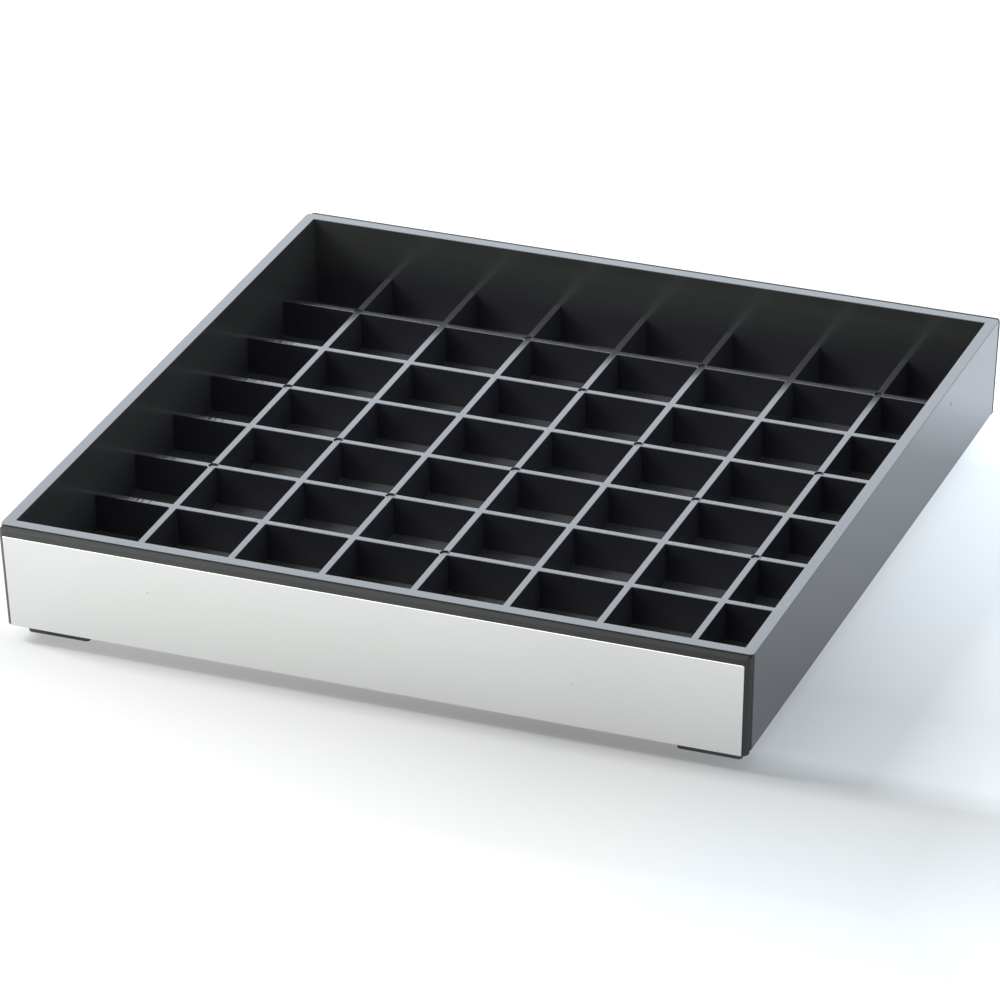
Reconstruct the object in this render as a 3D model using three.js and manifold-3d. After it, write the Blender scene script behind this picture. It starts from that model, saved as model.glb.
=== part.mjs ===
// Coin display tray: a square black tray with 8 x 8 coin compartments, a metal plate on its
// front and rear faces, and four low stacking feet.
// Millimetres, +Z up. The origin is under the middle of the tray, on the surface it stands on.
// The front faces -Y.

import * as THREE from 'three';
import { mergeVertices } from 'three/addons/utils/BufferGeometryUtils.js';
import Module from 'manifold-3d';

// ---------------------------------------------------------------- driving dimensions

const CELLS = 8;                 // compartments along each side
const PITCH = 30;                // from one divider to the next
const SIZE = 241;                // outer size of the rim, square
const BODY_HEIGHT = 33.2;        // underside of the floor to the rim
const FOOT_HEIGHT = 5.4;         // the feet lift the body by this much
const RIM_WIDTH = 3.8;           // width of the rim, and the wall below it
const CORNER_RADIUS = 1.5;       // outer vertical corners
const INNER_RADIUS = 0.6;        // vertical corners inside the recess
const OUTER_DRAFT = 2.0;         // degrees, the outer walls lean in toward the bottom
const INNER_DRAFT = 0.5;         // degrees, the recess narrows toward its floor

const RECESS_DEPTH = 17.8;       // rim to the tops of the dividers
const CELL_DEPTH = 12.4;         // tops of the dividers to the floor
const DIVIDER_THICKNESS = 2.3;

const CARRIER_THICKNESS = 1.9;   // black backing of each metal plate
const CARRIER_TOP = 0.35;        // below the rim
const CARRIER_BOTTOM = 33.8;     // below the rim
const CARRIER_INSET = 0.2;       // from the side of the tray, at the rim
const CARRIER_RADIUS = 1.2;      // upper corners of the carrier
const CARRIER_BEVEL = 0.5;       // softened outer edges of the carrier

const PLATE_THICKNESS = 0.4;
const PLATE_TOP = 2.65;          // below the rim
const PLATE_BOTTOM = 33.35;      // below the rim
const PLATE_INSET = 1.85;        // from the side of the tray, at the rim
const PLATE_RADIUS = 0.6;        // upper corners of the plate
const PLATE_BEVEL = 0.15;        // softened outer edges of the plate

const TAPE_LENGTH = 210;         // foam tape behind each carrier
const TAPE_HEIGHT = 9;
const TAPE_THICKNESS = 0.5;
const TAPE_LEVELS = { upper: 9.5, lower: 26.5 };   // middle of each strip, below the rim
const CHANNEL_DEPTH = 0.8;       // channel for the tape in the back of the carrier

const FOOT_LENGTH = 20.4;        // along X
const FOOT_DEPTH = 7.0;          // along Y
const FOOT_SIDE_INSET = 5.2;     // from the side of the tray
const FOOT_END_INSET = 5.2;      // from the front or rear of the tray
const FOOT_CHAMFER = 0.6;        // lower edges at the ends of each foot, along X
const FOOT_CHAMFER_RISE = 0.96;  // the same chamfer, along Z
const STUD_DIAMETER = 3.6;       // press-in studs on top of each foot
const STUD_HEIGHT = 1.4;
const STUD_SPACING = 10;

const GAP = 0.3;                 // clearance between touching pieces

// ---------------------------------------------------------------- derived dimensions

const RIM_Z = FOOT_HEIGHT + BODY_HEIGHT;
const HALF = SIZE / 2;
const OUTER_SLOPE = Math.tan(THREE.MathUtils.degToRad(OUTER_DRAFT));
const INNER_SLOPE = Math.tan(THREE.MathUtils.degToRad(INNER_DRAFT));
const DIVIDER_TOP = RIM_Z - RECESS_DEPTH;
const FLOOR_Z = DIVIDER_TOP - CELL_DEPTH;
const RECESS_HALF = HALF - RIM_WIDTH;

// ---------------------------------------------------------------- solids

const wasm = await Module();
wasm.setup();

function toSolid(geometry) {
  const bare = geometry.index ? geometry.toNonIndexed() : geometry.clone();
  bare.deleteAttribute('normal');
  bare.deleteAttribute('uv');
  const merged = mergeVertices(bare, 1e-4);
  return new wasm.Manifold(new wasm.Mesh({
    numProp: 3,
    vertProperties: new Float32Array(merged.attributes.position.array),
    triVerts: new Uint32Array(merged.index.array),
  }));
}

function toGeometry(solid) {
  const mesh = solid.getMesh();
  const positions = new Float32Array(mesh.numVert * 3);
  for (let i = 0; i < mesh.numVert; i += 1) {
    for (let k = 0; k < 3; k += 1) {
      positions[3 * i + k] = mesh.vertProperties[i * mesh.numProp + k];
    }
  }
  const geometry = new THREE.BufferGeometry();
  geometry.setAttribute('position', new THREE.BufferAttribute(positions, 3));
  geometry.setIndex(new THREE.BufferAttribute(new Uint32Array(mesh.triVerts), 1));
  geometry.computeVertexNormals();
  return geometry;
}

function subtractAll(geometry, cutters) {
  let solid = toSolid(geometry);
  for (const cutter of cutters) {
    solid = solid.subtract(toSolid(cutter));
  }
  return toGeometry(solid);
}

function addAll(geometry, others) {
  let solid = toSolid(geometry);
  for (const other of others) {
    solid = solid.add(toSolid(other));
  }
  return toGeometry(solid);
}

// ---------------------------------------------------------------- shapes

function roundedRectangle(halfX, halfY, radius) {
  const shape = new THREE.Shape();
  shape.absarc(halfX - radius, halfY - radius, radius, 0, Math.PI / 2);
  shape.absarc(-halfX + radius, halfY - radius, radius, Math.PI / 2, Math.PI);
  shape.absarc(-halfX + radius, -halfY + radius, radius, Math.PI, Math.PI * 1.5);
  shape.absarc(halfX - radius, -halfY + radius, radius, Math.PI * 1.5, Math.PI * 2);
  shape.closePath();
  return shape;
}

// A rounded square block from z0 to z1 whose sides move in below `fullZ` by `slope` per mm.
function draftedBlock(half, radius, z0, z1, slope, fullZ) {
  const geometry = new THREE.ExtrudeGeometry(roundedRectangle(half, half, radius), {
    depth: z1 - z0,
    bevelEnabled: false,
    curveSegments: 6,
  });
  geometry.translate(0, 0, z0);
  const position = geometry.attributes.position;
  for (let i = 0; i < position.count; i += 1) {
    const shift = slope * (fullZ - position.getZ(i));
    position.setX(i, position.getX(i) - Math.sign(position.getX(i)) * shift);
    position.setY(i, position.getY(i) - Math.sign(position.getY(i)) * shift);
  }
  return geometry;
}

function box(sizeX, sizeY, sizeZ, x, y, z) {
  return new THREE.BoxGeometry(sizeX, sizeY, sizeZ).translate(x, y, z);
}

function verticalCylinder(diameter, z0, z1, x, y) {
  const geometry = new THREE.CylinderGeometry(diameter / 2, diameter / 2, z1 - z0, 24);
  geometry.rotateX(Math.PI / 2);
  return geometry.translate(x, y, (z0 + z1) / 2);
}

// ---------------------------------------------------------------- materials

const moulding = new THREE.MeshStandardMaterial({ color: 0x17181b, roughness: 0.32, metalness: 0 });
const backing = new THREE.MeshStandardMaterial({ color: 0x26282a, roughness: 0.55, metalness: 0 });
const metal = new THREE.MeshStandardMaterial({ color: 0xd9dcdb, roughness: 0.18, metalness: 1 });
const foam = new THREE.MeshStandardMaterial({ color: 0x3a3a3a, roughness: 0.9, metalness: 0 });
const rubber = new THREE.MeshStandardMaterial({ color: 0x1e1f1c, roughness: 0.7, metalness: 0 });

const tray = new THREE.Group();

function addPiece(name, geometry, material, parent = tray) {
  const mesh = new THREE.Mesh(geometry, material);
  mesh.name = name;
  parent.add(mesh);
  return mesh;
}

// ---------------------------------------------------------------- tray body

const FEET = [
  ['foot_front_left', -1, -1],
  ['foot_front_right', 1, -1],
  ['foot_rear_left', -1, 1],
  ['foot_rear_right', 1, 1],
].map(([name, sideX, sideY]) => ({
  name,
  x: sideX * (HALF - FOOT_SIDE_INSET - FOOT_LENGTH / 2),
  y: sideY * (HALF - FOOT_END_INSET - FOOT_DEPTH / 2),
}));

const studHoles = FEET.flatMap(({ x, y }) => [-1, 1].map((side) => verticalCylinder(
  STUD_DIAMETER + 2 * GAP,
  FOOT_HEIGHT - 1,
  FOOT_HEIGHT + STUD_HEIGHT + GAP,
  x + side * STUD_SPACING / 2,
  y,
)));

addPiece('tray_body', subtractAll(
  draftedBlock(HALF, CORNER_RADIUS, FOOT_HEIGHT, RIM_Z, OUTER_SLOPE, RIM_Z),
  [
    draftedBlock(RECESS_HALF, INNER_RADIUS, FLOOR_Z, RIM_Z + 1, INNER_SLOPE, RIM_Z),
    ...studHoles,
  ],
), moulding);

// ---------------------------------------------------------------- dividers
// Seven strips run front to rear and seven run across. They are halved into each other: the
// lengthwise strips are slotted from below and the cross strips from above.

const DIVIDER_BASE = FLOOR_Z + GAP;
const DIVIDER_HEIGHT = DIVIDER_TOP - DIVIDER_BASE;
const SLOT_WIDTH = DIVIDER_THICKNESS + 2 * GAP;
const HALF_LAP = DIVIDER_HEIGHT / 2;
const STRIP_HALF = RECESS_HALF - INNER_SLOPE * (RIM_Z - FLOOR_Z) - GAP;

function dividerOffsets() {
  return Array.from({ length: CELLS - 1 }, (_, i) => (i - (CELLS - 2) / 2) * PITCH);
}

// Outline of a strip in its own plane: u along the strip, v up from its lower edge.
function stripOutline(slottedFromBelow) {
  const points = [];
  const shoulder = slottedFromBelow ? HALF_LAP + GAP / 2 : HALF_LAP - GAP / 2;
  const slottedEdge = slottedFromBelow ? 0 : DIVIDER_HEIGHT;
  const plainEdge = DIVIDER_HEIGHT - slottedEdge;
  points.push([-STRIP_HALF, slottedEdge]);
  for (const offset of dividerOffsets()) {
    points.push([offset - SLOT_WIDTH / 2, slottedEdge]);
    points.push([offset - SLOT_WIDTH / 2, shoulder]);
    points.push([offset + SLOT_WIDTH / 2, shoulder]);
    points.push([offset + SLOT_WIDTH / 2, slottedEdge]);
  }
  points.push([STRIP_HALF, slottedEdge]);
  points.push([STRIP_HALF, plainEdge]);
  points.push([-STRIP_HALF, plainEdge]);
  return new THREE.Shape(points.map(([u, v]) => new THREE.Vector2(u, v)));
}

function stripGeometry(slottedFromBelow) {
  const geometry = new THREE.ExtrudeGeometry(stripOutline(slottedFromBelow), {
    depth: DIVIDER_THICKNESS,
    bevelEnabled: false,
  });
  geometry.translate(0, 0, -DIVIDER_THICKNESS / 2);
  geometry.rotateX(Math.PI / 2);
  return geometry;
}

dividerOffsets().forEach((offset, i) => {
  const along = addPiece(`divider_long_${i + 1}`, stripGeometry(true), moulding);
  along.rotation.z = Math.PI / 2;
  along.position.set(offset, 0, DIVIDER_BASE);
  const across = addPiece(`divider_cross_${i + 1}`, stripGeometry(false), moulding);
  across.position.set(0, offset, DIVIDER_BASE);
});

// ---------------------------------------------------------------- front and rear faces
// Each face carries a black carrier held by two strips of foam tape, and a metal plate on it.
// A face group has its origin on the tray's face at the rim, with +z up the leaning face and
// -y out of the tray.

// Outline that narrows downward with the tray's sides. `top` and `bottom` are below the rim.
function faceOutline(inset, top, bottom, radius) {
  const upper = HALF - inset - OUTER_SLOPE * top;
  const lower = HALF - inset - OUTER_SLOPE * bottom;
  const shape = new THREE.Shape();
  shape.moveTo(-lower, -bottom);
  shape.lineTo(lower, -bottom);
  shape.lineTo(upper, -top - radius);
  shape.absarc(upper - radius, -top - radius, radius, 0, Math.PI / 2);
  shape.lineTo(-upper + radius, -top);
  shape.absarc(-upper + radius, -top - radius, radius, Math.PI / 2, Math.PI);
  shape.closePath();
  return shape;
}

// A flat piece standing on the face, from `near` to `near + thickness` out of it. The bevel goes
// round both sides.
function facePiece(shape, near, thickness, bevel) {
  const geometry = new THREE.ExtrudeGeometry(shape, {
    depth: thickness - bevel,
    bevelEnabled: bevel > 0,
    bevelSize: bevel,
    bevelOffset: -bevel,
    bevelThickness: bevel,
    bevelSegments: 2,
    curveSegments: 4,
  });
  geometry.rotateX(Math.PI / 2);
  return geometry.translate(0, -near, 0);
}

// Cuts off what lies behind `near`, so that the back is flat and square-edged.
function flatBack(geometry, near, thickness) {
  const keep = box(2 * SIZE, thickness, 4 * BODY_HEIGHT, 0, -near - thickness / 2, 0);
  return toGeometry(toSolid(geometry).intersect(toSolid(keep)));
}

const plateNear = GAP + CARRIER_THICKNESS + GAP;

for (const [side, turn] of [['front', 0], ['rear', Math.PI]]) {
  const turned = new THREE.Group();
  turned.rotation.z = turn;
  tray.add(turned);
  const face = new THREE.Group();
  face.position.set(0, -HALF, RIM_Z);
  face.rotation.x = THREE.MathUtils.degToRad(OUTER_DRAFT);
  turned.add(face);

  const channels = Object.values(TAPE_LEVELS).map((level) => box(
    TAPE_LENGTH + 2 * GAP,
    2 * CHANNEL_DEPTH,
    TAPE_HEIGHT + 2 * GAP,
    0,
    -GAP,
    -level,
  ));
  const carrierShape = faceOutline(CARRIER_INSET, CARRIER_TOP, CARRIER_BOTTOM, CARRIER_RADIUS);
  const carrier = flatBack(
    facePiece(carrierShape, GAP, CARRIER_THICKNESS, CARRIER_BEVEL),
    GAP,
    CARRIER_THICKNESS,
  );
  addPiece(`${side}_carrier`, subtractAll(carrier, channels), backing, face);

  for (const [level, below] of Object.entries(TAPE_LEVELS)) {
    const tape = box(TAPE_LENGTH, TAPE_THICKNESS, TAPE_HEIGHT, 0, 0, 0);
    const piece = addPiece(`${side}_tape_${level}`, tape, foam, face);
    piece.position.set(0, -GAP - TAPE_THICKNESS / 2, -below);
  }

  const plateShape = faceOutline(PLATE_INSET, PLATE_TOP, PLATE_BOTTOM, PLATE_RADIUS);
  addPiece(`${side}_plate`, flatBack(
    facePiece(plateShape, plateNear, PLATE_THICKNESS, PLATE_BEVEL),
    plateNear,
    PLATE_THICKNESS,
  ), metal, face);
}

// ---------------------------------------------------------------- feet

function footProfile() {
  const half = FOOT_LENGTH / 2;
  const top = FOOT_HEIGHT - GAP;
  return new THREE.Shape([
    [-half + FOOT_CHAMFER, 0],
    [half - FOOT_CHAMFER, 0],
    [half, FOOT_CHAMFER_RISE],
    [half, top],
    [-half, top],
    [-half, FOOT_CHAMFER_RISE],
  ].map(([u, v]) => new THREE.Vector2(u, v)));
}

for (const { name, x, y } of FEET) {
  const pad = new THREE.ExtrudeGeometry(footProfile(), { depth: FOOT_DEPTH, bevelEnabled: false });
  pad.translate(0, 0, -FOOT_DEPTH / 2);
  pad.rotateX(Math.PI / 2);
  const studs = [-1, 1].map((side) => verticalCylinder(
    STUD_DIAMETER,
    FOOT_HEIGHT - 2 * GAP,
    FOOT_HEIGHT + STUD_HEIGHT,
    side * STUD_SPACING / 2,
    0,
  ));
  addPiece(name, addAll(pad, studs), rubber).position.set(x, y, 0);
}

export default tray;
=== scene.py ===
"""Coin display tray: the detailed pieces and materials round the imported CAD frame.

The frame is in metres. Pieces are built here in millimetres and scaled once, in make_object().
"""

import math

import bpy  # noqa: E402
from mathutils import Matrix, Vector  # noqa: E402
from mathutils.geometry import tessellate_polygon  # noqa: E402


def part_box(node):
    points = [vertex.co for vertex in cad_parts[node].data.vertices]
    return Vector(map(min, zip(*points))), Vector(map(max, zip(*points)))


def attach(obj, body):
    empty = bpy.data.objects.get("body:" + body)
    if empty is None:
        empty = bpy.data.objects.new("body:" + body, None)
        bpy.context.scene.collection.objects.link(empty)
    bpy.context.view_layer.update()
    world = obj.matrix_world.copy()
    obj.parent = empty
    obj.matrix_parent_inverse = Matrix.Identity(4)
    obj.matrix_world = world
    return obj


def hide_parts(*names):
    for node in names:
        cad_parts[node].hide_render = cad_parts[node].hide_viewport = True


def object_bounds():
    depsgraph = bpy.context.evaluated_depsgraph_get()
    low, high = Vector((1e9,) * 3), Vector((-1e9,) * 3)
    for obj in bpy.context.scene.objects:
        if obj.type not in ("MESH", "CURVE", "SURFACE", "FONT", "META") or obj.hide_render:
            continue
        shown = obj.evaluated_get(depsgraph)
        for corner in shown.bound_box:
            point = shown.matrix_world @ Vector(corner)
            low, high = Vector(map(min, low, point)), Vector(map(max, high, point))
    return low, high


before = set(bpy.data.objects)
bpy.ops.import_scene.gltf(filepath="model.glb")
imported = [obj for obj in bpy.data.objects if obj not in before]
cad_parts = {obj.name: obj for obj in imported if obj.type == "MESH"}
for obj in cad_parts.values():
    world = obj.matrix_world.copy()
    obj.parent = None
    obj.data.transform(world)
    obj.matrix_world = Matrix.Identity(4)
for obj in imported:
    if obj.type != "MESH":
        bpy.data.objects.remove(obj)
CAD_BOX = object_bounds()

MM = 0.001

# ------------------------------------------------------------------ sizes read from the frame


def box_mm(node):
    """Lowest and highest corner of a CAD node, in mm."""
    low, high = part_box(node)
    return low / MM, high / MM


TRAY_LOW, TRAY_HIGH = box_mm("tray_body")
LONG_LOW, LONG_HIGH = box_mm("divider_long_4")
NEXT_LOW, _ = box_mm("divider_long_5")

HALF = TRAY_HIGH.x
BASE_Z = TRAY_LOW.z
RIM_Z = TRAY_HIGH.z
PITCH = NEXT_LOW.x - LONG_LOW.x
DIVIDERS = 7
OFFSETS = [(i - (DIVIDERS - 1) / 2) * PITCH for i in range(DIVIDERS)]
DIVIDER_HALF = (LONG_HIGH.x - LONG_LOW.x) / 2
DIVIDER_TOP = LONG_HIGH.z

# ------------------------------------------------------------------ sizes of the detail, in mm

CAD_GAP = 0.3                   # clearance between neighbouring CAD solids
RIM_WIDTH = 3.8
OUTER_DRAFT = math.radians(2.0)
INNER_DRAFT = math.radians(0.5)
OUTER_RADIUS = 1.5              # vertical corners
INNER_RADIUS = 0.3
RIM_EDGE = 0.14                 # rounding of the rim's outer edge
BASE_EDGE = 0.6                 # rounding of the outer edge round the underside
EDGE_RADIUS = 0.2               # rounding of the dividers' edges and the rim's inner edge
CROSS_FILLET = 0.3              # upright corners of the compartments
SINK = 0.1                      # moulded pieces run into each other by this much
ARC_STEPS = 8                   # faces in a quarter turn of an upright corner or an outline
OUTER_STEPS = 5                 # faces in the rounding of the rim's and underside's outer edges
INNER_STEPS = 3                 # faces in a rounding of EDGE_RADIUS
FACE_STEPS = 6                  # faces in the rounding of the front and rear pieces
FOOT_STEPS = 4                  # faces in the rounding of the feet's lower edges
SHARP_ANGLE = math.radians(35)  # edges that bend more than this stay sharp
FACE_WEIGHT = 80                # how much large faces count in the shading of soft edges

MARK_RADIUS = 1.55              # round ejector marks where dividers cross
MARK_DEPTH = 0.45

FLOOR_Z = LONG_LOW.z - CAD_GAP
RECESS_HALF = HALF - RIM_WIDTH


# ------------------------------------------------------------------ mesh helpers


class Shape:
    """Vertices and faces of one closed mesh, in mm, with a material index for each face."""

    def __init__(self):
        self.points = []
        self.faces = []
        self.slots = []

    def add_points(self, points):
        first = len(self.points)
        self.points.extend(points)
        return list(range(first, len(self.points)))

    def add_face(self, indices, slot=0):
        self.faces.append(tuple(indices))
        self.slots.append(slot)

    def join_rings(self, lower, upper, slot=0):
        """Quads between two closed rings with the same number of vertices."""
        count = len(lower)
        for i in range(count):
            j = (i + 1) % count
            self.add_face((lower[i], lower[j], upper[j], upper[i]), slot)

    def join_stack(self, rings):
        """Closes a stack of rings into a solid: its sides, its first end and its last end."""
        for lower, upper in zip(rings, rings[1:]):
            self.join_rings(lower, upper)
        self.add_face(rings[0][::-1])
        self.add_face(rings[-1])


def make_object(name, shape, materials, node, matrix=None):
    """Turns a Shape into a piece that rides on the root body and stands for its CAD node."""
    mesh = bpy.data.meshes.new(name)
    mesh.from_pydata([tuple(p) for p in shape.points], [], shape.faces)
    for material in materials:
        mesh.materials.append(material)
    mesh.polygons.foreach_set("material_index", shape.slots)
    mesh.transform(matrix or Matrix.Identity(4))
    mesh.transform(Matrix.Scale(MM, 4))
    mesh.validate()
    mesh.shade_smooth()
    mesh.set_sharp_from_angle(angle=SHARP_ANGLE)
    obj = bpy.data.objects.new(name, mesh)
    bpy.context.scene.collection.objects.link(obj)
    weighted = obj.modifiers.new("weighted_normals", "WEIGHTED_NORMAL")
    weighted.mode = "FACE_AREA"
    weighted.weight = FACE_WEIGHT
    weighted.keep_sharp = True
    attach(obj, "root")
    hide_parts(node)
    return obj


def rounded_rectangle(half_x, half_y, radius, z):
    """Ring of a rounded rectangle, counter-clockwise from the +X side."""
    ring = []
    for quarter in range(4):
        middle = math.pi / 4 + quarter * math.pi / 2
        cx = math.copysign(half_x - radius, math.cos(middle))
        cy = math.copysign(half_y - radius, math.sin(middle))
        for step in range(ARC_STEPS + 1):
            angle = (quarter + step / ARC_STEPS) * math.pi / 2
            ring.append((cx + radius * math.cos(angle), cy + radius * math.sin(angle), z))
    return ring


def quarter_steps(steps):
    """(sine, 1 - cosine) along a quarter circle, from (0, 0) to (1, 1)."""
    for i in range(steps + 1):
        angle = i / steps * math.pi / 2
        yield math.sin(angle), 1 - math.cos(angle)


# ------------------------------------------------------------------ node helpers


class Nodes:
    """Short way to build a node tree."""

    def __init__(self, tree):
        self.tree = tree
        tree.nodes.clear()

    def add(self, kind, inputs=None, **settings):
        node = self.tree.nodes.new(kind)
        for key, value in settings.items():
            setattr(node, key, value)
        for key, value in (inputs or {}).items():
            if isinstance(value, bpy.types.NodeSocket):
                self.tree.links.new(value, node.inputs[key])
            else:
                node.inputs[key].default_value = value
        return node

    def math(self, operation, *values):
        inputs = dict(enumerate(values))
        return self.add("ShaderNodeMath", inputs, operation=operation).outputs[0]

    def vector_math(self, operation, *values):
        inputs = dict(enumerate(values))
        node = self.add("ShaderNodeVectorMath", inputs, operation=operation)
        return node.outputs["Value" if operation == "DOT_PRODUCT" else "Vector"]

    def mix_color(self, factor, a, b):
        """The Mix node has sockets of the same name for each data type: only some are enabled."""
        inputs = {"Factor": factor, "A": a, "B": b}
        node = self.tree.nodes.new("ShaderNodeMix")
        node.data_type = "RGBA"
        for key, value in inputs.items():
            sockets = [s for s in node.inputs if s.name == key and s.enabled]
            if isinstance(value, bpy.types.NodeSocket):
                self.tree.links.new(value, sockets[0])
            else:
                sockets[0].default_value = value
        return [s for s in node.outputs if s.enabled][0]

    def remap(self, value, low, high, to_low, to_high):
        inputs = {
            "Value": value, "From Min": low, "From Max": high, "To Min": to_low, "To Max": to_high,
        }
        return self.add("ShaderNodeMapRange", inputs).outputs["Result"]

    def spread(self, noise, to_low, to_high):
        """Brings the middle of a noise's range to the range asked for."""
        return self.remap(noise, 0.3, 0.7, to_low, to_high)

    def length(self, vector):
        node = self.add("ShaderNodeVectorMath", {0: vector}, operation="LENGTH")
        return node.outputs["Value"]

    def axis(self, vector, letter):
        return self.add("ShaderNodeSeparateXYZ", {"Vector": vector}).outputs[letter]

    def noise(self, vector, scale, detail=3.0, roughness=0.5):
        inputs = {"Vector": vector, "Scale": scale, "Detail": detail, "Roughness": roughness}
        return self.add("ShaderNodeTexNoise", inputs).outputs["Fac"]

    def stretch(self, vector, scale, turn=(0, 0, 0)):
        inputs = {"Vector": vector, "Scale": scale, "Rotation": turn}
        return self.add("ShaderNodeMapping", inputs).outputs["Vector"]

    def bump(self, height, strength, distance, normal=None):
        inputs = {"Height": height, "Strength": strength, "Distance": distance}
        if normal is not None:
            inputs["Normal"] = normal
        return self.add("ShaderNodeBump", inputs).outputs["Normal"]


def new_material(name):
    """A material, its emptied node tree, and the socket with a place's own X, Y and Z."""
    material = bpy.data.materials.new(name)
    material.use_nodes = True
    nodes = Nodes(material.node_tree)
    place = nodes.add("ShaderNodeTexCoord").outputs["Object"]
    return material, nodes, place


def finish_material(nodes, inputs):
    """Adds the one shader, with these inputs, and the output."""
    shader = nodes.add("ShaderNodeBsdfPrincipled", inputs)
    nodes.add("ShaderNodeOutputMaterial", {"Surface": shader.outputs["BSDF"]})


# ------------------------------------------------------------------ materials

BLACK = (0.0054, 0.0055, 0.0072, 1)
BLACK_WORN = (0.0073, 0.0074, 0.0093, 1)
FLOOR_BLACK = (0.0040, 0.0042, 0.0048, 1)
SCUFFED = (0.06, 0.064, 0.068, 1)
DUST = (0.30, 0.30, 0.29, 1)
PITTED = (0.20, 0.20, 0.19, 1)
CARRIER_DARK = (0.0185, 0.0182, 0.0190, 1)
CARRIER_LIGHT = (0.0240, 0.0236, 0.0245, 1)
CARRIER_DUSTED_DARK = (0.0330, 0.0345, 0.0325, 1)
CARRIER_DUSTED_LIGHT = (0.0480, 0.0495, 0.0470, 1)
# painted shade on the carrier's upward-facing upper edge, plain and dusted
CARRIER_TOP_PAINTED_SHADE = (0.0009, 0.0009, 0.0011, 1)
CARRIER_TOP_PAINTED_SHADE_DUSTED = (0.0045, 0.0047, 0.0045, 1)
WORN_PLACE = (0.118, -0.084, 0.0386)     # where the rim's right side is scuffed, in metres
WORN_REACH = 0.009
NICK_PLACE = (0.1202, 0.0697, 0.0319)    # a small nick in the right side
NICK_SIZE = (0.01, 0.0003, 0.0010)
DRAG_SLANT = math.radians(38)   # slant of the drag marks across the level faces
PLASTIC_IOR = 1.5
FILM = 0.02                     # sheen of the thin film of dust on upright faces
FILM_TINT = (0.85, 0.9, 1.0, 1)
WALL_SPECULAR = 0.45
CARRIER_SPECULAR = 0.12
HAZE_AND_LIGHT_FROM = 0.0186             # the recess walls are hazier and lighter above this height, in metres: haze with painted light where the dividers no longer shade them
HAZE_AND_LIGHT_TO = 0.0276
# cloudy haze colours, lighter than the plain black: real haze and painted light together
LIT_HAZE_DARK = (0.0085, 0.0089, 0.0086, 1)
LIT_HAZE_LIGHT = (0.0150, 0.0158, 0.0150, 1)
METAL_DULL = (0.700, 0.706, 0.694, 1)
METAL_CLEAR = (0.735, 0.742, 0.730, 1)
FOAM_DARK = (0.055, 0.055, 0.055, 1)
FOAM_LIGHT = (0.09, 0.09, 0.09, 1)
RUBBER_DARK = (0.016, 0.019, 0.017, 1)
RUBBER_LIGHT = (0.026, 0.029, 0.026, 1)


def chosen_cells(nodes, cells, above):
    """1 in the Voronoi cells whose random number is over `above`, 0 in the others."""
    chance = nodes.add("ShaderNodeSeparateColor", {"Color": cells.outputs["Color"]})
    return nodes.math("GREATER_THAN", chance.outputs["Red"], above)


def dust_specks(nodes, place):
    """Sparse specks: 1 inside a few small round spots, 0 elsewhere."""
    cells = nodes.add("ShaderNodeTexVoronoi", {"Vector": place, "Scale": 90.0})
    spot = nodes.math("LESS_THAN", cells.outputs["Distance"], 0.022)
    return nodes.math("MULTIPLY", spot, chosen_cells(nodes, cells, 0.72))


def scuffs(nodes, place):
    """Short broken scratches."""
    lines = nodes.noise(nodes.stretch(place, (1400, 260, 260), (0, 0, 0.5)), 1.0, 3, 0.7)
    return nodes.remap(lines, 0.60, 0.66, 0.0, 0.8)


def worn_patch(nodes, place):
    """1 in the middle of the scuffed stretch of the rim, falling to 0 at its ends."""
    away = nodes.vector_math("SUBTRACT", place, WORN_PLACE)
    return nodes.remap(nodes.length(away), 0.4 * WORN_REACH, WORN_REACH, 1.0, 0.0)


def nick(nodes, place):
    """1 inside a small upright oval on the right side, 0 elsewhere."""
    away = nodes.vector_math("SUBTRACT", place, NICK_PLACE)
    scaled = nodes.vector_math("DIVIDE", away, NICK_SIZE)
    return nodes.remap(nodes.length(scaled), 0.7, 1.0, 0.75, 0.0)


def level_moulding(name, grain_scale, strength, drag_depth):
    """Level faces: satin, with fine tooling marks and a few scuffs and specks of dust."""
    material, nodes, place = new_material(name)
    cloud = nodes.noise(place, 60, 4)
    lengthwise = nodes.noise(nodes.stretch(place, grain_scale), 1.0, 3, 0.6)
    slanted = nodes.noise(nodes.stretch(place, (760, 120, 120), (0, 0, DRAG_SLANT)), 1.0, 2, 0.5)
    color = nodes.mix_color(cloud, BLACK, BLACK_WORN)
    color = nodes.mix_color(dust_specks(nodes, place), color, DUST)
    scuff = nodes.math("MULTIPLY", scuffs(nodes, place), worn_patch(nodes, place))
    color = nodes.mix_color(scuff, color, SCUFFED)
    smooth = nodes.spread(cloud, 0.17, 0.22)
    roughness = nodes.math("MULTIPLY_ADD", scuff, 0.4, smooth)
    grain = nodes.bump(lengthwise, strength, 0.00003)
    normal = nodes.bump(slanted, strength, drag_depth, grain)
    finish_material(nodes, {
        "Base Color": color, "Roughness": roughness, "Normal": normal, "IOR": PLASTIC_IOR,
    })
    return material


def edge_moulding():
    """Rounded outer edge of the rim: slightly rubbed, so duller than the faces beside it."""
    material, nodes, place = new_material("moulding_edge")
    rub = nodes.noise(place, 150, 4)
    color = nodes.mix_color(rub, BLACK, BLACK_WORN)
    roughness = nodes.spread(rub, 0.28, 0.36)
    normal = nodes.bump(rub, 0.2, 0.00004)
    finish_material(nodes, {
        "Base Color": color, "Roughness": roughness, "Normal": normal, "IOR": PLASTIC_IOR,
    })
    return material


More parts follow.
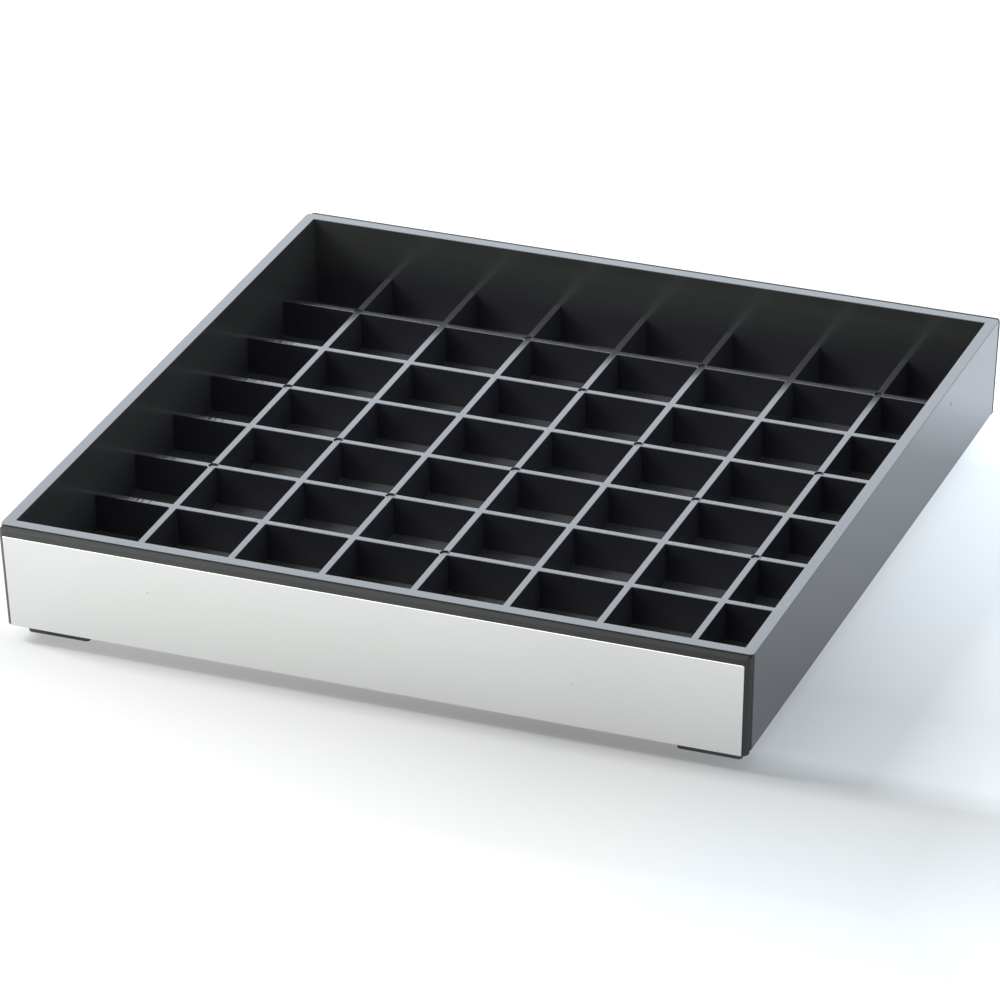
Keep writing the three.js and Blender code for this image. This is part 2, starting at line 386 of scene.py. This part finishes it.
def wall_moulding():
    """Upright faces: glossier, with faint upright drag marks from the mould."""
    material, nodes, place = new_material("moulding_wall")
    cloud = nodes.noise(place, 45, 4)
    upright = nodes.stretch(place, (700, 700, 25))
    drag = nodes.noise(upright, 1.0, 3, 0.6)
    color = nodes.mix_color(cloud, BLACK, BLACK_WORN)
    smooth = nodes.spread(drag, 0.09, 0.13)
    dent = nick(nodes, place)
    roughness = nodes.math("MULTIPLY_ADD", dent, 0.9, smooth)
    grain = nodes.bump(nodes.noise(place, 900, 3), 0.10, 0.00002)
    normal = nodes.bump(drag, 0.08, 0.00002, grain)
    finish_material(nodes, {
        "Base Color": color, "Roughness": roughness, "Normal": normal, "IOR": PLASTIC_IOR,
        "Specular IOR Level": WALL_SPECULAR,
        "Sheen Weight": FILM, "Sheen Roughness": 0.5, "Sheen Tint": FILM_TINT,
    })
    return material


def recess_moulding():
    """Inside of the tray's outer walls: glossy, hazy with handling and lighter above the dividers,
    where painted light stands in for the shade the dividers cast lower down.
    """
    material, nodes, place = new_material("moulding_recess")
    cloud = nodes.noise(nodes.stretch(place, (14, 14, 60)), 1.0, 4, 0.5)
    # painted light: lighter above the dividers, standing in for the shade that falls lower down
    # between them
    haze_and_painted_light = nodes.remap(nodes.axis(place, "Z"), HAZE_AND_LIGHT_FROM, HAZE_AND_LIGHT_TO, 0.0, 1.0)
    lit_haze = nodes.mix_color(cloud, LIT_HAZE_DARK, LIT_HAZE_LIGHT)
    color = nodes.mix_color(haze_and_painted_light, BLACK_WORN, lit_haze)
    color = nodes.mix_color(dust_specks(nodes, place), color, DUST)
    roughness = nodes.spread(cloud, 0.17, 0.24)
    normal = nodes.bump(cloud, 0.05, 0.0001)
    finish_material(nodes, {
        "Base Color": color, "Roughness": roughness, "Normal": normal, "IOR": PLASTIC_IOR,
        "Sheen Weight": FILM, "Sheen Roughness": 0.5, "Sheen Tint": FILM_TINT,
    })
    return material


def floor_moulding():
    """Floors of the compartments and the underside: a fine even grain."""
    material, nodes, place = new_material("moulding_floor")
    cloud = nodes.noise(place, 45, 4)
    grain = nodes.noise(place, 1800, 3, 0.6)
    color = nodes.mix_color(cloud, FLOOR_BLACK, BLACK)
    roughness = nodes.spread(grain, 0.42, 0.55)
    normal = nodes.bump(grain, 0.3, 0.00004)
    finish_material(nodes, {
        "Base Color": color, "Roughness": roughness, "Normal": normal, "IOR": PLASTIC_IOR,
    })
    return material


def carrier_material():
    """Matt black backing: dustier and lighter to the left, with painted shade darkening its
    upward-facing upper edge.
    """
    material, nodes, place = new_material("carrier_black")
    cloud = nodes.noise(place, 80, 4)
    grain = nodes.noise(place, 1500, 4, 0.65)
    dusty = nodes.remap(nodes.axis(place, "X"), -0.12, 0.10, 1.0, 0.0)
    plain = nodes.mix_color(cloud, CARRIER_DARK, CARRIER_LIGHT)
    dusted = nodes.mix_color(cloud, CARRIER_DUSTED_DARK, CARRIER_DUSTED_LIGHT)
    # painted shade: faces that look upward, along the upper edge, get a near-black colour that
    # stands in for shade
    facing = nodes.add("ShaderNodeTexCoord").outputs["Normal"]
    painted_shade_mask = nodes.remap(nodes.axis(facing, "Z"), 0.3, 0.8, 0.0, 1.0)
    color = nodes.mix_color(dusty, plain, dusted)
    # the painted shade colour for the upward faces, lighter where dusty
    edge = nodes.mix_color(dusty, CARRIER_TOP_PAINTED_SHADE, CARRIER_TOP_PAINTED_SHADE_DUSTED)
    color = nodes.mix_color(painted_shade_mask, color, edge)
    roughness = nodes.spread(grain, 0.6, 0.75)
    normal = nodes.bump(grain, 0.35, 0.00005)
    finish_material(nodes, {
        "Base Color": color, "Roughness": roughness, "Normal": normal, "IOR": PLASTIC_IOR,
        "Specular IOR Level": CARRIER_SPECULAR,
    })
    return material


def plate_pits(nodes, place):
    """A handful of tiny dark spots: 1 inside them, 0 elsewhere."""
    upright = nodes.stretch(place, (1, 1, 1), (math.pi / 2, 0, 0))
    cells = nodes.add("ShaderNodeTexVoronoi", {"Vector": upright, "Scale": 45.0},
                      voronoi_dimensions="2D")
    spot = nodes.remap(cells.outputs["Distance"], 0.006, 0.012, 0.8, 0.0)
    return nodes.math("MULTIPLY", spot, chosen_cells(nodes, cells, 0.70))


def plate_material():
    """Bright metal, almost smooth: a faint lengthwise grain, a cloudy polish and tiny pits."""
    material, nodes, place = new_material("plate_metal")
    drawn = nodes.stretch(place, (30, 2200, 2200))
    lines = nodes.noise(drawn, 1.0, 3, 0.6)
    cloud = nodes.noise(place, 22, 3)
    color = nodes.mix_color(cloud, METAL_DULL, METAL_CLEAR)
    color = nodes.mix_color(plate_pits(nodes, place), color, PITTED)
    roughness = nodes.spread(cloud, 0.15, 0.19)
    normal = nodes.bump(lines, 0.05, 0.000004)
    finish_material(nodes, {
        "Base Color": color, "Metallic": 1.0, "Roughness": roughness, "Normal": normal,
    })
    return material


def foam_material():
    """Foam tape: matt, with fine open cells."""
    material, nodes, place = new_material("tape_foam")
    cells = nodes.add("ShaderNodeTexVoronoi", {"Vector": place, "Scale": 1800}).outputs["Distance"]
    color = nodes.mix_color(cells, FOAM_DARK, FOAM_LIGHT)
    normal = nodes.bump(cells, 0.6, 0.0001)
    finish_material(nodes, {"Base Color": color, "Roughness": 0.9, "Normal": normal})
    return material


def rubber_material():
    """Feet: matt black with a fine grain."""
    material, nodes, place = new_material("foot_rubber")
    cloud = nodes.noise(place, 120, 4)
    grain = nodes.noise(place, 2200, 3, 0.6)
    color = nodes.mix_color(cloud, RUBBER_DARK, RUBBER_LIGHT)
    roughness = nodes.spread(grain, 0.5, 0.68)
    normal = nodes.bump(grain, 0.3, 0.00004)
    finish_material(nodes, {
        "Base Color": color, "Roughness": roughness, "Normal": normal, "IOR": PLASTIC_IOR,
    })
    return material


# Level faces: how fine the tooling marks are along X, Y and Z, how strong, and how deep in metres
# the slanted drag marks are. The cross strips are the most dragged.
LEVEL = level_moulding("moulding_level", (500, 500, 500), 0.3, 0.00003)
LEVEL_ALONG = level_moulding("moulding_level_long", (1500, 60, 1500), 0.25, 0.00003)
LEVEL_ACROSS = level_moulding("moulding_level_cross", (60, 1500, 1500), 0.5, 0.0003)
WALL = wall_moulding()
FLOOR = floor_moulding()
RECESS = recess_moulding()
EDGE = edge_moulding()
LEVEL_SLOT, WALL_SLOT, FLOOR_SLOT, RECESS_SLOT, EDGE_SLOT = range(5)
TRAY_MOULDING = [LEVEL, WALL, FLOOR, RECESS, EDGE]
LONG_MOULDING = [LEVEL_ALONG, WALL]
CROSS_MOULDING = [LEVEL_ACROSS, WALL]
CARRIER = carrier_material()
PLATE = plate_material()
FOAM = foam_material()
RUBBER = rubber_material()


# ------------------------------------------------------------------ tray body


def outer_half(z):
    return HALF - math.tan(OUTER_DRAFT) * (RIM_Z - z)


def recess_half(z):
    return RECESS_HALF - math.tan(INNER_DRAFT) * (RIM_Z - z)


def tray_shape():
    """Underside, leaning outer walls, rim and recess as one loft of rounded squares."""
    shape = Shape()

    def ring(half, radius, z):
        return shape.add_points(rounded_rectangle(half, half, radius, z))

    rings = []
    for out, rise in quarter_steps(OUTER_STEPS):
        z = BASE_Z + BASE_EDGE * rise
        inset = BASE_EDGE * (1 - out)
        rings.append((ring(outer_half(z) - inset, OUTER_RADIUS - inset, z), WALL_SLOT))
    for i, (up, inward) in enumerate(quarter_steps(OUTER_STEPS)):
        z = RIM_Z - RIM_EDGE * (1 - up)
        inset = RIM_EDGE * inward
        slot = WALL_SLOT if i == 0 else EDGE_SLOT
        rings.append((ring(outer_half(z) - inset, OUTER_RADIUS - inset, z), slot))
    for i, (up, outward) in enumerate(reversed(list(quarter_steps(INNER_STEPS)))):
        z = RIM_Z - EDGE_RADIUS * (1 - up)
        extra = EDGE_RADIUS * outward
        slot = LEVEL_SLOT if i == 0 else WALL_SLOT
        rings.append((ring(recess_half(z) + extra, INNER_RADIUS + extra, z), slot))
    rings.append((ring(recess_half(FLOOR_Z), INNER_RADIUS, FLOOR_Z), RECESS_SLOT))
    for (lower, _), (upper, slot) in zip(rings, rings[1:]):
        shape.join_rings(lower, upper, slot)
    shape.add_face(reversed(rings[0][0]), FLOOR_SLOT)
    shape.add_face(rings[-1][0], FLOOR_SLOT)
    return shape


# ------------------------------------------------------------------ dividers
# A strip lies along its own u axis, w is across it. Where strips cross, the crossing block has
# short stubs that reach CROSS_REACH to each side, so that the butt joints hide in the straight
# stretches. Lengthwise strips own the upper half of each crossing, cross strips the lower half.

CROSS_REACH = DIVIDER_HALF + CROSS_FILLET
LAP_Z = (FLOOR_Z + DIVIDER_TOP) / 2
FILLET_STEPS = 4
MARK_STEPS = 28


def divider_levels():
    """(z, offset): how far the divider's faces stand inside its top width, from bottom to top."""
    thickening = math.tan(INNER_DRAFT)
    levels = [(FLOOR_Z - SINK, -thickening * (DIVIDER_TOP - FLOOR_Z + SINK))]
    levels.append((LAP_Z, -thickening * (DIVIDER_TOP - LAP_Z)))
    for up, inward in quarter_steps(INNER_STEPS):
        levels.append((DIVIDER_TOP - EDGE_RADIUS * (1 - up), EDGE_RADIUS * inward))
    return levels


def corner_arc(cu, cw, radius, start):
    """Quarter arc of a compartment's upright corner, centred in the compartment."""
    points = []
    for i in range(FILLET_STEPS + 1):
        angle = start + i / FILLET_STEPS * math.pi / 2
        points.append((cu + radius * math.cos(angle), cw + radius * math.sin(angle)))
    return points


def crossing_side(centre, offset, side):
    """Outline of one side (-1 or +1) of a crossing, in order of rising u."""
    radius = CROSS_FILLET + offset
    cw = side * CROSS_REACH
    before = centre - CROSS_REACH
    after = centre + CROSS_REACH
    if side > 0:
        rising = corner_arc(before, cw, radius, -math.pi / 2)
        falling = corner_arc(after, cw, radius, math.pi)
    else:
        rising = list(reversed(corner_arc(before, cw, radius, 0)))
        falling = list(reversed(corner_arc(after, cw, radius, math.pi / 2)))
    return rising + falling


class Divider:
    """One strip from wall to wall. `marks` holds the crossings with an ejector mark."""

    def __init__(self, end, owns_upper, marks):
        self.shape = Shape()
        self.owns_upper = owns_upper
        self.marks = marks
        self.levels = divider_levels()
        self.lap = next(i for i, (z, _) in enumerate(self.levels) if z == LAP_Z)
        self.top = len(self.levels) - 1
        starts = [-end] + [c + CROSS_REACH for c in OFFSETS]
        ends = [c - CROSS_REACH for c in OFFSETS] + [end]
        self.spans = list(zip(starts, ends))
        self.add_all_points()
        self.add_span_sides()
        self.add_crossing_sides()
        self.add_span_levels()
        self.add_crossing_levels()
        self.add_span_ends()
        drop_unused_points(self.shape)

    def add_all_points(self):
        """plain[level][span][side] is a span's two ends; crossing[level][i][side] a crossing."""
        self.plain = []
        self.crossing = []
        for z, offset in self.levels:
            half = DIVIDER_HALF - offset
            self.plain.append([
                [self.shape.add_points([(u, side * half, z) for u in span]) for side in (-1, 1)]
                for span in self.spans
            ])
            self.crossing.append([
                [self.shape.add_points([(u, w, z) for u, w in crossing_side(c, offset, side)[1:-1]])
                 for side in (-1, 1)]
                for c in OFFSETS
            ])

    def side_chain(self, level, i, side):
        """Vertices of crossing i on one side, with the plain spans' end vertices."""
        before = self.plain[level][i][side][1]
        after = self.plain[level][i + 1][side][0]
        return [before, *self.crossing[level][i][side], after]

    def crossing_loop(self, level, i):
        return self.side_chain(level, i, 0) + self.side_chain(level, i, 1)[::-1]

    def add_span_sides(self):
        for level in range(self.top):
            for lower, upper in zip(self.plain[level], self.plain[level + 1]):
                near = (lower[0][0], lower[0][1], upper[0][1], upper[0][0])
                far = (lower[1][1], lower[1][0], upper[1][0], upper[1][1])
                self.shape.add_face(near, WALL_SLOT)
                self.shape.add_face(far, WALL_SLOT)

    def add_crossing_sides(self):
        owned = range(self.lap, self.top) if self.owns_upper else range(self.lap)
        for level in owned:
            for i in range(DIVIDERS):
                for side in (0, 1):
                    lower = self.side_chain(level, i, side)
                    upper = self.side_chain(level + 1, i, side)
                    for k in range(len(lower) - 1):
                        quad = (lower[k], lower[k + 1], upper[k + 1], upper[k])
                        self.shape.add_face(quad if side == 0 else quad[::-1], WALL_SLOT)

    def add_span_levels(self):
        for bottom, top in zip(self.plain[0], self.plain[self.top]):
            under = (bottom[1][0], bottom[1][1], bottom[0][1], bottom[0][0])
            self.shape.add_face(under, WALL_SLOT)
            self.shape.add_face((top[0][0], top[0][1], top[1][1], top[1][0]), LEVEL_SLOT)

    def add_crossing_levels(self):
        for i, centre in enumerate(OFFSETS):
            if not self.owns_upper:
                self.shape.add_face(self.crossing_loop(0, i)[::-1], WALL_SLOT)
                self.shape.add_face(self.crossing_loop(self.lap, i), WALL_SLOT)
                continue
            self.shape.add_face(self.crossing_loop(self.lap, i)[::-1], WALL_SLOT)
            if i in self.marks:
                add_marked_top(self.shape, self.crossing_loop(self.top, i), centre)
            else:
                self.shape.add_face(self.crossing_loop(self.top, i), LEVEL_SLOT)

    def add_span_ends(self):
        """Upright end faces of the spans: at the tray's walls, and where the lap is open."""
        whole = range(self.top + 1)
        opened = range(self.lap + 1) if self.owns_upper else range(self.lap, self.top + 1)
        last = len(self.spans) - 1
        for span in range(len(self.spans)):
            for which, at_wall in ((0, span == 0), (1, span == last)):
                rows = whole if at_wall else opened
                left = [self.plain[level][span][0][which] for level in rows]
                right = [self.plain[level][span][1][which] for level in rows]
                loop = left + right[::-1]
                self.shape.add_face(loop if which == 1 else loop[::-1], WALL_SLOT)


def add_marked_top(shape, loop, centre):
    """Top of a crossing with a round, slightly sunk ejector mark in it."""
    z = DIVIDER_TOP
    circle = [(centre + MARK_RADIUS * math.cos(a), MARK_RADIUS * math.sin(a))
              for a in (k / MARK_STEPS * 2 * math.pi for k in range(MARK_STEPS))]
    upper = shape.add_points([(u, w, z) for u, w in circle])
    lower = shape.add_points([(u, w, z - MARK_DEPTH) for u, w in circle])
    outer = [Vector(shape.points[k]) for k in loop]
    inner = [Vector(shape.points[k]) for k in upper[::-1]]
    indices = list(loop) + upper[::-1]
    for a, b, c in tessellate_polygon([outer, inner]):
        corners = [Vector(shape.points[indices[k]]) for k in (a, b, c)]
        up = (corners[1] - corners[0]).cross(corners[2] - corners[0]).z > 0
        face = (indices[a], indices[b], indices[c])
        shape.add_face(face if up else face[::-1], LEVEL_SLOT)
    shape.join_rings(upper, lower, WALL_SLOT)
    shape.add_face(lower, LEVEL_SLOT)


def drop_unused_points(shape):
    """Takes out the points that no face uses, and renumbers the rest."""
    used = sorted({k for face in shape.faces for k in face})
    place = {old: new for new, old in enumerate(used)}
    shape.points = [shape.points[k] for k in used]
    shape.faces = [tuple(place[k] for k in face) for face in shape.faces]


# Ejector marks by cross strip, as numbers of the lengthwise strips they sit on. The pattern
# is the same after half a turn.
MARKS = {0: (0, 2, 4, 6), 1: (3,), 2: (0, 2, 6), 3: (1, 3, 5)}


def marked(across, along):
    """Whether an ejector mark sits where these two strips cross."""
    if across > DIVIDERS // 2:
        across, along = DIVIDERS - 1 - across, DIVIDERS - 1 - along
    return along in MARKS[across]


def build_dividers():
    end = recess_half(DIVIDER_TOP) + SINK
    for i, offset in enumerate(OFFSETS):
        marks = [j for j in range(DIVIDERS) if marked(j, i)]
        turn = Matrix.Translation((offset, 0, 0)) @ Matrix.Rotation(math.pi / 2, 4, "Z")
        name = f"divider_long_{i + 1}"
        shape = Divider(end, True, marks).shape
        make_object("moulded_" + name, shape, LONG_MOULDING, name, turn)
        name = f"divider_cross_{i + 1}"
        shape = Divider(end, False, []).shape
        move = Matrix.Translation((0, offset, 0))
        make_object("moulded_" + name, shape, CROSS_MOULDING, name, move)


# ------------------------------------------------------------------ front and rear faces

CARRIER_TOP = 0.35              # below the rim, along the leaning face
CARRIER_BOTTOM = 33.6
CARRIER_INSET = 0.2
CARRIER_RADIUS = 1.2
CARRIER_REACH = 2.45            # out of the tray's face
CARRIER_EDGE = 1.9              # rounding of its upright corners
CARRIER_LIP = 0.4               # how far the rounding eats into its upper and lower edges
LOWER_RADIUS = 0.25             # lower corners of the carrier and the plate
LEAST_RADIUS = 0.05             # the upper corners never get sharper than this
PLATE_TOP = 2.65
PLATE_BOTTOM = 33.35
PLATE_INSET = 1.85
PLATE_RADIUS = 0.6
PLATE_REACH = 2.7
PLATE_EDGE = 0.12


def face_outline(inset, top, bottom, radius, shrink, lip):
    """Outline on the leaning face, (x, distance below the rim), narrower toward the bottom."""
    slope = math.tan(OUTER_DRAFT)
    low = HALF - inset - slope * bottom - shrink
    high = HALF - inset - slope * top - shrink
    top, bottom = top + lip, bottom - lip
    radius = max(radius - shrink, LEAST_RADIUS)
    points = []
    for cx, cd, r, start in (
        (low - LOWER_RADIUS, bottom - LOWER_RADIUS, LOWER_RADIUS, -90),
        (high - radius, top + radius, radius, 0),
        (-high + radius, top + radius, radius, 90),
        (-low + LOWER_RADIUS, bottom - LOWER_RADIUS, LOWER_RADIUS, 180),
    ):
        for k in range(ARC_STEPS + 1):
            angle = math.radians(start + 90 * k / ARC_STEPS)
            points.append((cx + r * math.cos(angle), cd - r * math.sin(angle)))
    return points


def face_shape(inset, top, bottom, radius, near, reach, edge, lip):
    """A flat piece on the face with its outer edges rounded. -y is out of the tray."""
    shape = Shape()
    rings = []
    for out, inward in [(near, 0.0)] + [
        (reach - edge * (1 - up), inward) for up, inward in quarter_steps(FACE_STEPS)
    ]:
        outline = face_outline(inset, top, bottom, radius, edge * inward, lip * inward)
        rings.append(shape.add_points([(x, -out, -down) for x, down in outline]))
    shape.join_stack(rings)
    return shape


def build_faces():
    for side, turn in (("front", 0), ("rear", math.pi)):
        place = (Matrix.Rotation(turn, 4, "Z") @ Matrix.Translation((0, -HALF, RIM_Z))
                 @ Matrix.Rotation(OUTER_DRAFT, 4, "X"))
        shape = face_shape(CARRIER_INSET, CARRIER_TOP, CARRIER_BOTTOM, CARRIER_RADIUS,
                           -SINK, CARRIER_REACH, CARRIER_EDGE, CARRIER_LIP)
        name = f"{side}_carrier"
        make_object("fitted_" + name, shape, [CARRIER], name, place)
        shape = face_shape(PLATE_INSET, PLATE_TOP, PLATE_BOTTOM, PLATE_RADIUS,
                           CARRIER_REACH, PLATE_REACH, PLATE_EDGE, PLATE_EDGE)
        name = f"{side}_plate"
        make_object("fitted_" + name, shape, [PLATE], name, place)
        for level in ("upper", "lower"):
            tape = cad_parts[f"{side}_tape_{level}"]
            tape.data.materials.clear()
            tape.data.materials.append(FOAM)


# ------------------------------------------------------------------ feet

FOOT_EDGE = 0.25                # rounding of the lower edge
FOOT_CORNER = 1.2               # upright corners


def foot_shape(half_x, half_y):
    """A low pad with rounded upright corners and a softened edge where it meets the ground."""
    shape = Shape()
    levels = [(0.0, BASE_Z)]
    for up, inward in quarter_steps(FOOT_STEPS):
        levels.insert(0, (FOOT_EDGE * inward, FOOT_EDGE * (1 - up)))
    rings = []
    for inset, z in levels:
        ring = rounded_rectangle(half_x - inset, half_y - inset, FOOT_CORNER - inset, z)
        rings.append(shape.add_points(ring))
    shape.join_stack(rings)
    return shape


def build_feet():
    for name in ("foot_front_left", "foot_front_right", "foot_rear_left", "foot_rear_right"):
        low, high = box_mm(name)
        middle = (low + high) / 2
        shape = foot_shape((high.x - low.x) / 2, (high.y - low.y) / 2)
        place = Matrix.Translation((middle.x, middle.y, 0))
        make_object("rubber_" + name, shape, [RUBBER], name, place)


# ------------------------------------------------------------------ camera, light and floor

# From here on, lengths are in metres, except the camera's lens and sensor, which are in mm.

AIM = Vector((0.00359, -0.02267, 0.0216))
AZIMUTH = math.radians(21.440)
ELEVATION = math.radians(27.059)
ROLL = math.radians(-0.554)
DISTANCE = 1.969
LENS = 228.86
SENSOR = 36
CLIP = (0.05, 100)


def build_camera():
    camera = bpy.data.cameras.new("camera")
    camera.lens = LENS
    camera.sensor_width = SENSOR
    camera.clip_start, camera.clip_end = CLIP
    back = Vector((
        math.sin(AZIMUTH) * math.cos(ELEVATION),
        -math.cos(AZIMUTH) * math.cos(ELEVATION),
        math.sin(ELEVATION),
    ))
    obj = bpy.data.objects.new("camera", camera)
    turned = (-back).to_track_quat("-Z", "Y").to_matrix().to_4x4()
    obj.matrix_world = (Matrix.Translation(AIM + back * DISTANCE) @ turned
                        @ Matrix.Rotation(ROLL, 4, "Z"))
    bpy.context.scene.collection.objects.link(obj)
    bpy.context.scene.camera = obj


SKY_BRIGHT = 3.8                # the left side and the ceiling of the tent
SKY_DIM = 0.6
SKY_FILL = 3.2                  # a reflector on the right
SKY_FRONT_COLOR = (0.98, 1.0, 1.0, 1)
SKY_BACK_COLOR = (0.915, 1.0, 1.075, 1)
SKY_TOWARD = Vector((-1, 0, 0.55)).normalized()    # the way to the brightest part


def build_world():
    """A white tent lit from the left and above, dim at low right, with a reflector there."""
    world = bpy.data.worlds.new("studio")
    bpy.context.scene.world = world
    world.use_nodes = True
    nodes = Nodes(world.node_tree)
    direction = nodes.add("ShaderNodeTexCoord").outputs["Generated"]
    toward = nodes.vector_math("DOT_PRODUCT", direction, tuple(SKY_TOWARD))
    bright = nodes.remap(toward, -0.02, 0.40, SKY_DIM, SKY_BRIGHT)
    rightward = nodes.vector_math("DOT_PRODUCT", direction, (1.0, 0.0, 0.0))
    fill = nodes.remap(rightward, 0.50, 0.85, 0.0, SKY_FILL)
    strength = nodes.math("ADD", bright, fill)
    backward = nodes.vector_math("DOT_PRODUCT", direction, (0.0, 1.0, 0.0))
    blueness = nodes.remap(backward, -0.3, 0.6, 0.0, 1.0)
    color = nodes.mix_color(blueness, SKY_FRONT_COLOR, SKY_BACK_COLOR)
    background = nodes.add("ShaderNodeBackground", {"Color": color, "Strength": strength})
    nodes.add("ShaderNodeOutputWorld", {"Surface": background.outputs[0]})


KEY_PLACE = Vector((-1.52, -0.13, 1.30))
KEY_SIZE = (0.5, 0.8)
KEY_POWER = 170


def build_key_light():
    """A soft box high on the left, aimed at the tray."""
    light = bpy.data.lights.new("softbox", "AREA")
    light.shape = "RECTANGLE"
    light.size, light.size_y = KEY_SIZE
    light.energy = KEY_POWER
    obj = bpy.data.objects.new("softbox", light)
    obj.location = KEY_PLACE
    obj.rotation_mode = "QUATERNION"
    obj.rotation_quaternion = (-KEY_PLACE).to_track_quat("-Z", "Y")
    bpy.context.scene.collection.objects.link(obj)


FLOOR_REACH = 6.0
FLOOR_DROP = 0.0001             # below the feet, so that the two never coincide
FLOOR_GREY = (0.11, 0.11, 0.11, 1)
FLOOR_WARM = (1.0, 1.0, 0.975, 1)
FLOOR_BLUE = (0.90, 1.0, 1.10, 1)


def floor_glow(nodes, across, depth, to_right):
    """How bright the floor's glow is, painted with the tray's shadow and light: places are in
    metres, `across` along X and `depth` along Y.
    """
    # painted light: brighter towards the back and to the left
    rise = nodes.remap(depth, -0.07, 0.09, 0.36, 0.52)
    to_left = nodes.remap(across, 0.06, -0.12, 0.0, 0.17)

    # painted light: brighter along the right side, most of all towards the back
    rise_right = nodes.remap(depth, -0.07, 0.09, 0.0, 0.32)
    far_right = nodes.remap(depth, 0.09, 0.125, 0.0, 0.5)
    at_right = nodes.math("MULTIPLY", nodes.math("ADD", rise_right, far_right), to_right)

    # painted shadow: dimmer close in front of the front plate
    in_front = nodes.remap(depth, -0.122, -0.108, 1.0, 0.0)
    shade = nodes.math("MULTIPLY", nodes.remap(depth, -0.19, -0.125, -0.03, 0.20), in_front)

    # painted light: brighter further away from the tray, all round, where its painted shadow fades
    # out
    beside = nodes.math("SUBTRACT", nodes.math("ABSOLUTE", across), HALF * MM)
    beyond = nodes.math("SUBTRACT", nodes.math("ABSOLUTE", depth), -CAD_BOX[0].y)
    away = nodes.remap(nodes.math("MAXIMUM", beside, beyond), 0.06, 0.16, 0.0, 0.35)

    glow = nodes.math("SUBTRACT", nodes.math("ADD", rise, to_left), shade)
    for part in (at_right, away):
        glow = nodes.math("ADD", glow, part)
    return glow


def build_floor():
    """A pale glowing floor with the tray's shadow painted into its glow: dimmer where the tray
    would shade it, bluish behind and at right.
    """
    material, nodes, place = new_material("studio_floor")
    across, depth = nodes.axis(place, "X"), nodes.axis(place, "Y")
    to_right = nodes.remap(across, 0.09, 0.125, 0.0, 1.0)
    blue_back = nodes.remap(depth, -0.15, 0.10, 0.0, 1.0)
    blueness = nodes.math("MAXIMUM", blue_back, nodes.math("MULTIPLY", to_right, 0.9))
    finish_material(nodes, {
        "Base Color": FLOOR_GREY, "Roughness": 0.9, "Specular IOR Level": 0.0,
        "Emission Color": nodes.mix_color(blueness, FLOOR_WARM, FLOOR_BLUE),
        "Emission Strength": floor_glow(nodes, across, depth, to_right),
    })
    corners = [(-1, -1), (1, -1), (1, 1), (-1, 1)]
    points = [(x * FLOOR_REACH, y * FLOOR_REACH, 0) for x, y in corners]
    mesh = bpy.data.meshes.new("studio_floor")
    mesh.from_pydata(points, [], [(0, 1, 2, 3)])
    mesh.materials.append(material)
    floor = bpy.data.objects.new("studio_floor", mesh)
    floor.location.z = -FLOOR_DROP
    bpy.context.scene.collection.objects.link(floor)


# ------------------------------------------------------------------ build

make_object("moulded_tray_body", tray_shape(), TRAY_MOULDING, "tray_body")
build_dividers()
build_faces()
build_feet()
build_camera()
build_world()
build_key_light()
build_floor()
bpy.context.scene.view_settings.view_transform = "Standard"
bpy.context.scene.view_settings.look = "None"
